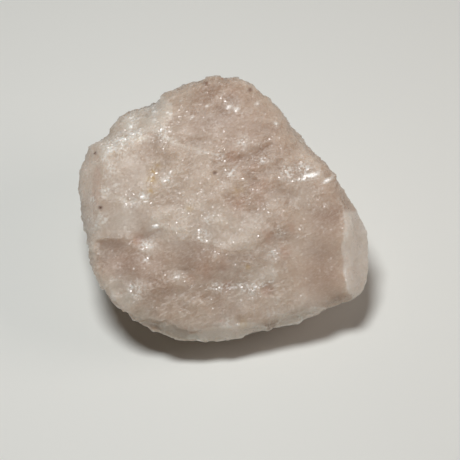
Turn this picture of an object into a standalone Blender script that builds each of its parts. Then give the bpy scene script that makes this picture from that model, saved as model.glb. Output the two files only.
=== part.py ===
"""A rough, unpolished piece of pale pink calcite, modelled as one solid that stands on a flat break.

Blender 4.5, metres, +Z up. The front is -Y.

The stone was broken off a larger mass, so it is bounded by breaks: a broad face that leans
forward, two end faces, and a back and underside that draw in to a small flat base. It is made
the way it broke. The hull of its corners gives the block. Ledges, dents and unevenness wear the
block. Then the breaks are cut, each by a broad uneven slab, and the flakes, each by a thin slab
let into the broad face. Last the base is cut level.
"""

import math

import bmesh
import bpy
from mathutils import Matrix, Vector, noise
from mathutils.bvhtree import BVHTree

MM = 0.001

# Driving dimensions
STONE_WIDTH = 60.0 * MM  # along X, over the rim

# Every other size is drawn in millimetres for a stone this wide, and is scaled by UNIT.
DRAWN_WIDTH = 60.0
UNIT = STONE_WIDTH / DRAWN_WIDTH

FACE_LEAN = math.radians(32.0)  # how far the broad face leans forward from level
FACE_CENTRE_HEIGHT = 18.0  # the middle of the rim above the base
GRAIN = 1.78  # side of the mesh's faces before the breaks are cut
CUTTER_GRAIN = 2.1  # side of a cutter's faces
CUTTER_SWELL = 5.0  # size of a cutter's unevenness
BREAK_ROUGHNESS = 0.9  # how far it stands out on a break
FLAKE_ROUGHNESS = 0.6  # and on a flake
BREAK_SIZE = 64.0  # side of the slab that makes a break
BREAK_THICKNESS = 40.0
BOW_REACH = 15.0  # a break is hollowed by its bow this far out from its middle
FLAKE_THICKNESS = 6.0
FLAKE_FLARE = 4.5  # how far a flake's edges slope back over the thickness of its slab
FLAKE_ENDS = 0.9  # how far a flake's floor rises to its two ends
FLAKE_RUN_OUT = 0.6  # and to its lower edge

# The rim is the widest outline seen square to the broad face. Each corner is
# (across, up the face, out of the face), from the middle of the rim.
RIM = [
    (-11.8, 24.3, 2.0), (-3.9, 27.2, 3.2), (-1.7, 27.8, 3.8), (4.4, 27.6, 4.6), (5.6, 27.2, 4.8),
    (11.2, 23.4, 4.6), (13.2, 19.2, 4.4), (22.8, 7.0, 4.4), (25.4, 4.8, 4.4), (30.2, -1.0, 3.4),
    (30.8, -4.3, 2.6), (31.1, -9.7, 2.2), (30.9, -16.4, 2.2), (30.2, -17.9, 2.8),
    (26.6, -19.0, 3.6), (17.5, -22.9, 4.0), (2.6, -27.2, 5.0), (-3.9, -27.4, 5.6),
    (-11.5, -25.0, 8.0), (-16.3, -22.5, 10.6), (-21.1, -18.8, 10.6), (-23.8, -15.5, 9.9),
    (-26.6, -11.5, 8.0), (-28.8, -1.0, 4.4), (-29.9, 4.7, 2.8), (-29.9, 7.5, 2.0),
    (-28.3, 10.8, 1.6), (-26.8, 13.7, 1.2), (-21.1, 19.5, 1.2), (-15.6, 22.2, 1.4),
]

# Corners of the broad face, inside the rim: its shoulders, then its crest, which runs below
# the middle from the left to the right.
BROAD_FACE = [
    (-10.0, 21.0, 6.8), (1.0, 24.0, 7.6), (8.0, 20.0, 8.2), (14.6, 11.5, 8.0), (21.0, 4.5, 8.0),
    (25.4, -0.6, 8.6), (26.2, -9.0, 8.8), (26.4, -17.0, 7.8),
    (14.0, -20.5, 8.8), (0.0, -24.0, 8.8), (-10.0, -22.0, 9.8), (-18.5, -17.5, 11.2),
    (-25.4, 10.5, 7.2), (-25.2, 2.0, 8.4), (-25.2, -6.0, 9.2),
    (-20.0, -5.5, 10.2), (-8.0, -6.5, 10.9), (3.0, -8.6, 11.3), (12.0, -4.0, 10.6), (20.0, -2.5, 9.8),
    (-15.0, 12.5, 8.9), (0.0, 14.5, 9.6), (8.0, 4.0, 10.4), (-9.0, 4.0, 10.4),
]

# Corners of the back and the underside, as the stone stands: (x, y, height).
UNDERSIDE = [
    (-16.0, -9.0, -2.0), (-5.0, -15.0, -2.0), (9.0, -14.0, -2.0), (17.0, -4.0, -2.0),
    (14.0, 10.0, -2.0), (2.0, 16.0, -2.0), (-12.0, 13.0, -2.0), (-18.0, 3.0, -2.0),
    (2.0, 28.0, 18.0), (-13.0, 26.0, 15.0), (14.0, 22.0, 12.0), (24.0, 11.0, 10.0),
    (-26.0, 14.0, 11.0), (-28.0, -2.0, 9.0), (28.0, -6.0, 8.0), (21.0, -16.0, 5.0),
    (-13.0, -21.0, 4.0), (6.0, -22.0, 4.0), (-22.0, -14.0, 6.0), (4.0, 22.0, 5.0),
]

# Breaks bound the back and the underside. Each faces out along (azimuth, elevation), in degrees
# with azimuth 0 in front and 90 at the right, at a distance from the middle of the block:
# (name, azimuth, elevation, distance, bow), where the bow is how far it is hollowed.
MIDDLE = (0.0, 0.0, 16.0)
BREAKS = [
    ("back_left", 214.0, -6.0, 25.4, 0.8),
    ("back", 178.0, -3.0, 23.8, -0.5),
    ("back_right", 141.0, -9.0, 22.6, 0.9),
    ("back_low", 190.0, -40.0, 19.0, 0.9),
    ("back_left_low", 236.0, -38.0, 19.2, 0.4),
    ("left_low", 276.0, -50.0, 18.0, 0.8),
    ("right_low", 88.0, -58.0, 21.6, 0.9),
    ("back_right_low", 132.0, -44.0, 18.6, -0.4),
    ("front_low", 356.0, -61.0, 19.6, 1.0),
    ("front_left_low", 312.0, -61.0, 18.2, 0.5),
    ("front_right_low", 38.0, -61.0, 20.2, 0.6),
]

# Breaks whose place is set on the broad face. Each passes through a point
# (across, up the face, out of the face) and faces out along (across, up, out):
# (name, point, direction, bow). The first are the facets of the broad face itself.
FACE_BREAKS = [
    ("lower_right", (14.5, -9.8, 9.5), (0.09, -0.10, 1.0), 0.2),
    ("lower_left", (-16.0, -11.5, 10.2), (-0.03, 0.03, 1.0), 0.2),
    ("lower_middle", (0.0, -10.0, 10.6), (0.06, -0.17, 1.0), 0.2),
    ("upper_middle", (0.0, 4.0, 10.1), (0.0, 0.06, 1.0), 0.2),
    ("top", (0.0, 18.0, 8.5), (-0.02, 0.19, 1.0), 0.2),
    ("upper_right", (14.7, 8.0, 8.6), (0.20, 0.12, 1.0), 0.2),
    ("window", (-18.3, 8.0, 8.5), (-0.13, 0.14, 1.0), -0.4),
]
END_BREAKS = [
    ("right_end", (28.1, -8.4, 5.8), (0.69, 0.01, 0.724), 0.35),
    ("left_end", (-27.2, 3.0, 5.0), (-0.69, 0.12, 0.72), -0.3),
]

# Flakes that have come off the broad face. A flake is deepest at its upper edge and runs out
# below: (name, across and up of the middle of its upper edge, turn of the edge in degrees,
# half length, reach, depth, curl), where the curl is how far the ends of the edge bend down.
FLAKES = [
    ("ledge", -21.0, -6.1, -2.0, 8.5, 9.0, 1.15, 0.2),
    ("ledge_end", -14.6, -4.9, 18.0, 4.5, 6.0, 0.8, 0.3),
    ("crest_flake", 3.0, -8.6, 2.0, 8.5, 7.0, 0.7, -1.2),
    ("right_flake", 18.0, -2.7, 8.0, 7.5, 6.0, 0.45, 0.3),
    ("bright_step", 16.8, 6.0, 15.0, 4.8, 5.0, 0.4, 0.2),
    ("low_flake", 3.7, -15.8, 2.0, 9.5, 6.0, 0.7, 0.8),
    ("low_left_flake", -11.0, -13.4, -8.0, 7.0, 6.0, 0.6, 0.8),
    ("upper_flake", 6.0, 12.0, 26.0, 8.5, 8.0, 0.25, 0.5),
    ("top_flake", -6.5, 20.6, 12.0, 7.0, 6.0, 0.4, 0.8),
    ("window_edge", -19.5, 2.2, 6.0, 5.5, 3.4, 0.5, -0.5),
]

# Dents in the worn block, and lumps where the depth is under 0:
# (across, up the face, out of the face, radius, depth)
DENTS = [
    (-14.5, 22.0, 1.5, 5.0, 1.2), (1.3, 27.6, 4.0, 3.2, 0.7), (16.5, 15.0, 4.4, 8.5, 1.7),
    (27.0, 1.8, 4.0, 3.6, 0.9), (23.0, -20.4, 5.0, 4.5, 0.6), (8.5, -25.7, 5.4, 5.0, 0.8),
    (-14.0, -24.4, 8.8, 3.8, 1.8), (-24.6, 15.4, 1.2, 2.8, 0.9), (13.0, -24.0, 5.2, 7.0, 0.8),
    (-20.5, 9.0, 8.0, 7.0, -0.7), (-14.0, 9.0, 9.0, 4.5, 0.6), (-13.5, 15.0, 8.4, 4.0, 0.6),
    (9.0, 9.0, 9.6, 6.0, 0.5), (-3.5, 18.0, 8.6, 5.0, -0.5), (-8.0, -24.0, 8.2, 3.4, 0.6),
]

# The broad face broke in ledges that climb to the right. Each ends in a lip with a small drop
# below it.
LEDGE_CLIMB = math.radians(24.0)
LEDGE_SPACING = 5.6
LEDGE_DROP = 0.75
LEDGE_WANDER = [(11.0, 5.0), (4.0, 1.2)]  # (size of the bends, how far they shift a ledge)
LEDGE_PATCH = 9.0  # size of the patches where the ledges stand out
LEDGE_SHARE = 0.55  # their mean strength

# Unevenness of every broken surface: (size of the swells, height of the swells)
SWELLS = [(15.0, 0.9), (6.5, 0.55), (3.2, 0.28)]


def on_face(across, up, out):
    """A point given square to the broad face, in metres in the standing frame."""
    point = along_face(across, up, out) * UNIT
    return point + Vector((0.0, 0.0, FACE_CENTRE_HEIGHT * UNIT))


def along_face(across, up, out):
    """A direction given square to the broad face, in the standing frame."""
    return Matrix.Rotation(FACE_LEAN, 3, "X") @ Vector((across, up, out))


def swell(point):
    """How far the unevenness stands out at a point."""
    return sum(noise.noise(point / (size * UNIT)) * height * UNIT for size, height in SWELLS)


def ledges(point):
    """How far the ledges stand out at a point of the broad face."""
    flat = Matrix.Rotation(-FACE_LEAN, 3, "X") @ (point / UNIT)
    wander = sum(noise.noise(flat / size) * shift for size, shift in LEDGE_WANDER)
    across_ledges = flat.y * math.cos(LEDGE_CLIMB) - flat.x * math.sin(LEDGE_CLIMB) + wander
    rise = 1.0 - (across_ledges / LEDGE_SPACING) % 1.0
    strength = LEDGE_SHARE + noise.noise(flat / LEDGE_PATCH + Vector((7.0, 3.0, 0.0)))
    return (rise - 0.5) * max(0.0, strength) * LEDGE_DROP * UNIT


def block():
    """The hull of all the corners."""
    shape = bmesh.new()
    for corner in RIM + BROAD_FACE:
        shape.verts.new(on_face(*corner))
    for corner in UNDERSIDE:
        shape.verts.new(Vector(corner) * UNIT)
    hull = bmesh.ops.convex_hull(shape, input=shape.verts)
    inside = [v for v in hull["geom_interior"] if isinstance(v, bmesh.types.BMVert)]
    bmesh.ops.delete(shape, geom=inside, context="VERTS")
    return as_mesh("block", shape)


def as_mesh(name, shape):
    mesh = bpy.data.meshes.new(name)
    shape.to_mesh(mesh)
    shape.free()
    return mesh


def evened(mesh):
    """The same body, closed and with faces about GRAIN across."""
    helper = bpy.data.objects.new("block", mesh)
    bpy.context.scene.collection.objects.link(helper)
    remesh = helper.modifiers.new("even_faces", "REMESH")
    remesh.mode = "VOXEL"
    remesh.voxel_size = GRAIN * UNIT
    graph = bpy.context.evaluated_depsgraph_get()
    even = bpy.data.meshes.new_from_object(helper.evaluated_get(graph))
    bpy.data.objects.remove(helper)
    return even


def wear(mesh):
    """Gives the block its ledges, dents and unevenness."""
    face_out = along_face(0.0, 0.0, 1.0)
    dents = [(on_face(*d[:3]), d[3] * UNIT, d[4] * UNIT) for d in DENTS]
    moves = []
    for vertex in mesh.vertices:
        height = swell(vertex.co)
        facing = min(1.0, max(0.0, (vertex.normal.dot(face_out) - 0.55) / 0.25))
        height += facing * ledges(vertex.co)
        for centre, radius, depth in dents:
            share = (vertex.co - centre).length / radius
            if share < 1.0:
                height -= depth * (1.0 - share * share) ** 2
        moves.append(vertex.normal * height)
    for vertex, move in zip(mesh.vertices, moves):
        vertex.co += move


def slab(size, thickness, flare, profile):
    """A slab whose underside is the height profile(x, y), and which widens by flare to its top."""
    shape = bmesh.new()
    segments = [max(4, round(side / CUTTER_GRAIN)) for side in size]
    bmesh.ops.create_grid(shape, x_segments=segments[0], y_segments=segments[1], size=0.5)
    under = list(shape.verts)
    over = bmesh.ops.extrude_face_region(shape, geom=shape.faces[:])["geom"]
    for vertex in [v for v in over if isinstance(v, bmesh.types.BMVert)]:
        x, y = vertex.co.xy
        vertex.co = Vector((x * (size[0] + 2.0 * flare), y * (size[1] + 2.0 * flare), thickness))
    for vertex in under:
        x, y = vertex.co.x * size[0], vertex.co.y * size[1]
        vertex.co = Vector((x, y, profile(x, y)))
    bmesh.ops.recalc_face_normals(shape, faces=shape.faces)
    shape.transform(Matrix.Scale(UNIT, 4))
    return shape


def roughened(name, shape, outward, roughness, sideways, ledged):
    """The cutter as a mesh, once it is in place, made uneven out of and along its underside."""
    for vertex in shape.verts:
        where = vertex.co / (CUTTER_SWELL * UNIT)
        push = Vector([noise.noise(where + Vector((shift, 0.0, 0.0))) for shift in (0.0, 7.0, 13.0)])
        along = push - outward * push.dot(outward)
        move = (outward * push.x + along * sideways) * (roughness * UNIT)
        vertex.co += move + outward * (ledged * ledges(vertex.co))
    return as_mesh(name, shape)


def break_cutter(name, point, direction, bow, ledged):
    """A broad slab that takes away all that lies beyond a plane, which is hollowed by bow."""

    def profile(x, y):
        return bow * ((x / BOW_REACH) ** 2 + (y / BOW_REACH) ** 2 - 1.0)

    shape = slab((BREAK_SIZE, BREAK_SIZE), BREAK_THICKNESS, 0.0, profile)
    aim = direction.to_track_quat("Z", "Y").to_matrix().to_4x4()
    shape.transform(Matrix.Translation(point) @ aim)
    return roughened(name, shape, direction, BREAK_ROUGHNESS, 0.0, ledged)


def flake_cutter(name, surface, across, up, turn, half_length, reach, depth, curl):
    """A thin slab let into the broad face, deepest at its upper edge."""

    def profile(x, y):
        run = 0.5 - y / reach
        ends = (x / half_length) ** 2
        rise = FLAKE_ENDS * ends * ends + FLAKE_RUN_OUT * run * run
        return depth * (run - 1.0) * (1.0 - ends) + rise

    shape = slab((2.0 * half_length, reach), FLAKE_THICKNESS, FLAKE_FLARE, profile)
    for vertex in shape.verts:
        vertex.co.y -= curl * (vertex.co.x / half_length / UNIT) ** 2 * UNIT
    outward = along_face(0.0, 0.0, 1.0)

    def on_surface(x, y):
        step = Matrix.Rotation(math.radians(turn), 3, "Z") @ Vector((x, y, 0.0))
        return surface.ray_cast(on_face(across + step.x, up + step.y, 60.0), -outward)[0]

    edge = on_surface(0.0, 0.0)
    right = (on_surface(0.6 * half_length, 0.0) - on_surface(-0.6 * half_length, 0.0)).normalized()
    out = right.cross(edge - on_surface(0.0, -reach)).normalized()
    tilt = Matrix((right, out.cross(right), out)).transposed().to_4x4()
    to_edge = Matrix.Translation((0.0, -0.5 * reach * UNIT, 0.0))
    shape.transform(Matrix.Translation(edge) @ tilt @ to_edge)
    return roughened(name, shape, out, FLAKE_ROUGHNESS, 1.5, 0.0)


def cutter_meshes(worn_block):
    """All the breaks and flakes, as (name, mesh)."""
    made = []
    for name, azimuth, elevation, distance, bow in BREAKS:
        around, over = math.radians(azimuth), math.radians(elevation)
        direction = Vector(
            (math.sin(around) * math.cos(over), -math.cos(around) * math.cos(over), math.sin(over))
        )
        point = (Vector(MIDDLE) + direction * distance) * UNIT
        made.append((name, break_cutter(name, point, direction, bow, 0.0)))
    for breaks, ledged in ((FACE_BREAKS, 1.0), (END_BREAKS, 0.0)):
        for name, point, direction, bow in breaks:
            aim = along_face(*direction).normalized()
            made.append((name, break_cutter(name, on_face(*point), aim, bow, ledged)))
    surface = BVHTree.FromPolygons(
        [v.co for v in worn_block.vertices], [p.vertices for p in worn_block.polygons]
    )
    for name, *place in FLAKES:
        made.append((name, flake_cutter(name, surface, *place)))
    return made


def below_base():
    """A slab under height 0, which cuts the base level."""
    shape = bmesh.new()
    bmesh.ops.create_cube(shape, size=1.0)
    thick, wide = 10.0 * MM, 2.0 * STONE_WIDTH
    shape.transform(
        Matrix.Translation((0.0, 0.0, -0.5 * thick)) @ Matrix.Diagonal((wide, wide, thick, 1.0))
    )
    return as_mesh("below_base", shape)


def calcite_material():
    material = bpy.data.materials.new("pale pink calcite")
    material.use_nodes = True
    shader = material.node_tree.nodes["Principled BSDF"]
    shader.inputs["Base Color"].default_value = (0.51, 0.41, 0.34, 1.0)
    shader.inputs["Roughness"].default_value = 0.45
    shader.inputs["Metallic"].default_value = 0.0
    return material


def collection(name):
    made = bpy.data.collections.new(name)
    bpy.context.scene.collection.children.link(made)
    return made


def cut(stone, name, mesh, cutters):
    """Takes a cutter away from the stone."""
    tool = bpy.data.objects.new(name, mesh)
    cutters.objects.link(tool)
    tool.parent = stone.parent
    tool.hide_render = True
    tool.display_type = "WIRE"
    modifier = stone.modifiers.new(name, "BOOLEAN")
    modifier.operation = "DIFFERENCE"
    modifier.object = tool


def centre_on_origin(stone, stand):
    """Moves the stand so that the box round the stone is centred over the origin."""
    graph = bpy.context.evaluated_depsgraph_get()
    done = stone.evaluated_get(graph)
    points = [done.matrix_world @ v.co for v in done.data.vertices]
    for axis in (0, 1):
        low = min(p[axis] for p in points)
        high = max(p[axis] for p in points)
        stand.location[axis] = -0.5 * (low + high)


def main():
    for obj in list(bpy.data.objects):
        bpy.data.objects.remove(obj)
    pieces = collection("rough_calcite")
    cutters = collection("cutters")
    stand = bpy.data.objects.new("stand", None)
    pieces.objects.link(stand)

    body = evened(block())
    wear(body)
    stone = bpy.data.objects.new("calcite_stone", body)
    stone.data.materials.append(calcite_material())
    pieces.objects.link(stone)
    stone.parent = stand

    for name, mesh in cutter_meshes(body):
        cut(stone, name, mesh, cutters)
    cut(stone, "below_base", below_base(), cutters)
    centre_on_origin(stone, stand)


main()
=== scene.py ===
"""A rough piece of pale pink calcite, dressed: its broken surface, its colour and its sparkle.

One piece stands for the solid. It is the solid's own shape with the small breaks of the mineral
added to it: ledges and pits on the broad face, shallow scars, chips and crystal grains.
"""

import math
from functools import partial

import bmesh
import bpy
import numpy as np
from mathutils import Matrix, Vector, noise


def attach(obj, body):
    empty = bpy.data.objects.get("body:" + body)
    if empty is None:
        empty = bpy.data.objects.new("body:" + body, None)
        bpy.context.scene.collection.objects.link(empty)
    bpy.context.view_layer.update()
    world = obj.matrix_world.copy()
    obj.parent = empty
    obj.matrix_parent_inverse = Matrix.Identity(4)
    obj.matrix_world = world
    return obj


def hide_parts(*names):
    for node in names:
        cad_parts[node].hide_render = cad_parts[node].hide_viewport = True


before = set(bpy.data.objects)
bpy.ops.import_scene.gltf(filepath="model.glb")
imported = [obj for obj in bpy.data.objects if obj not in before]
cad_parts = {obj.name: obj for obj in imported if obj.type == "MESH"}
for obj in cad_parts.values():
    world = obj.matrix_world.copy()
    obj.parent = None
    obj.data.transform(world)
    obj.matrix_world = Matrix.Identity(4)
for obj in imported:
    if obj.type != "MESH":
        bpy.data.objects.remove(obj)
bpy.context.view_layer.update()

# Every size is in mm unless it says otherwise
MM = 0.001

# The broad face leans forward. Its own frame is (across, up the face, out of the face), from the
# middle of the stone's rim.
FACE_LEAN = math.radians(32.0)
FACE_CENTRE = Vector((-0.62, 0.47, 18.0))
FACE_TO_WORLD = Matrix.Rotation(FACE_LEAN, 3, "X")
WORLD_TO_FACE = Matrix.Rotation(-FACE_LEAN, 3, "X")

# The camera looks square onto the face, at AIM, from DISTANCE in front of it
AIM = Vector((1.98, -3.98, 2.0))
DISTANCE = 300.0
VIEW_WIDTH = 95.4
SENSOR_WIDTH = 36.0
NEAREST_SEEN = 0.01  # in metres

# The places on the face are given as (across, up) on a flat chart, where a point is drawn as the
# camera sees it. On the chart, AIM is at CHART_AIM.
CHART_AIM = (1.66, -4.35)

# The skin: the side of its faces, how near points have to be to be one, and its rounds of smoothing
SKIN_GRAIN = 0.335
SAME_POINT = 0.001
SOFTENING_ROUNDS = 9

# Small ledges on the broad face: (drop, reach, points of the lip from left to right). The surface
# is lower by the drop on one side of the lip, and comes back up over the reach. The lower side
# is below the lip where the drop is over 0, and above it where it is under 0.
LEDGES = [
    (0.10, 4.0, [(-11.4, -6.0), (-7.7, -6.2), (-4.6, -6.6), (-1.5, -7.7), (2.1, -8.6), (5.2, -8.5)]),
    (0.10, 3.0, [(5.2, -8.5), (7.0, -7.9), (8.7, -6.6), (10.4, -5.0), (12.6, -3.5), (16.2, -2.5)]),
    (-0.14, 2.5, [(-24.5, 1.2), (-21.1, 1.7), (-18.4, 1.0), (-15.8, 2.5), (-14.5, 3.9)]),
    (-0.20, 2.0, [(12.8, 4.9), (15.3, 5.3), (17.8, 6.0), (19.9, 7.1)]),
    (-0.20, 1.6, [(20.2, 5.2), (22.9, 6.3)]),
    (-0.09, 2.0, [(-1.5, 4.1), (1.2, 5.3), (2.9, 6.0)]),
    (-0.09, 2.0, [(1.2, 6.6), (2.9, 8.9), (4.3, 10.4)]),
    (-0.08, 1.8, [(5.0, 7.4), (7.9, 7.0), (9.2, 7.6)]),
    (0.12, 1.4, [(-3.1, -16.4), (0.0, -15.9), (2.9, -15.4), (5.8, -16.2), (8.3, -16.0), (10.6, -15.1)]),
    (0.40, 6.0, [(-14.6, -24.0), (-11.6, -23.1), (-9.2, -24.4), (-7.0, -25.2), (-3.4, -25.4)]),
    (-0.12, 2.5, [(-11.6, 15.3), (-9.7, 13.5), (-5.9, 12.1), (-3.9, 12.1)]),
    (-0.08, 1.8, [(-12.0, -13.4), (-9.2, -14.6), (-6.5, -13.6)]),
    (-0.16, 2.2, [(-25.5, 12.6), (-22.5, 14.4), (-18.0, 15.2)]),
    (-0.08, 2.0, [(10.5, -0.5), (13.5, -0.2), (16.8, 0.8)]),
]
LIP_WIDTH = 0.35  # a ledge falls by its drop over this
LIP_FADE = 1.5  # it fades out over this at both ends
LIP_RIDGE = 0.25  # its high side stands up by this share of the drop
LIP_RIDGE_REACH = 0.8
LIP_WANDER = ((1.6, 0.55), (0.6, 0.2))  # it swings over each width as far as the reach beside it

# Pits: (across, up, radius, depth)
PITS = [
    (1.2, -16.5, 1.4, 0.18), (9.5, -16.8, 1.6, 0.18), (3.7, -23.2, 1.2, 0.30), (-2.4, -7.7, 0.9, 0.20),
    (-1.5, 7.5, 0.7, 0.30), (6.0, -17.8, 1.0, 0.30), (-3.4, -19.0, 1.2, 0.25), (13.8, 1.0, 1.0, 0.25),
]

# How square to the broad face a point is, from 0 to 1, where each of these starts and is full
PART_OF_FACE = (0.15, 0.50)
IN_FRONT = (0.0, 0.25)
AT_RIM = (0.75, 0.40)

# The two end breaks: how far sideways they face, where they start and are full on the chart, and
# how pale the left one is beside the right
END_FACING = (0.32, 0.44)
RIGHT_END_ACROSS = (23.5, 24.5)
RIGHT_END_UP = (0.0, -0.8)
LEFT_END_ACROSS = (-24.5, -25.5)
LEFT_END_SHARE = 0.3

# What the broad face is marked with. Each mark fades out where the surface turns away from it. Besides
# the stone's own colour, some marks hold painted light and shade, as told at each list.
MARKS = ("hackly", "frosted", "milky_and_lit", "deep_and_shaded", "blushed_and_shaded", "stained", "specked_and_shaded", "greyed_and_shaded", "smooth")
SIDE_HACKLES = 0.8  # how hackly the sides and the back are all over

NOISE_SEED = 1  # the lips and the panes' borders swing the same way on every run

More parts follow.
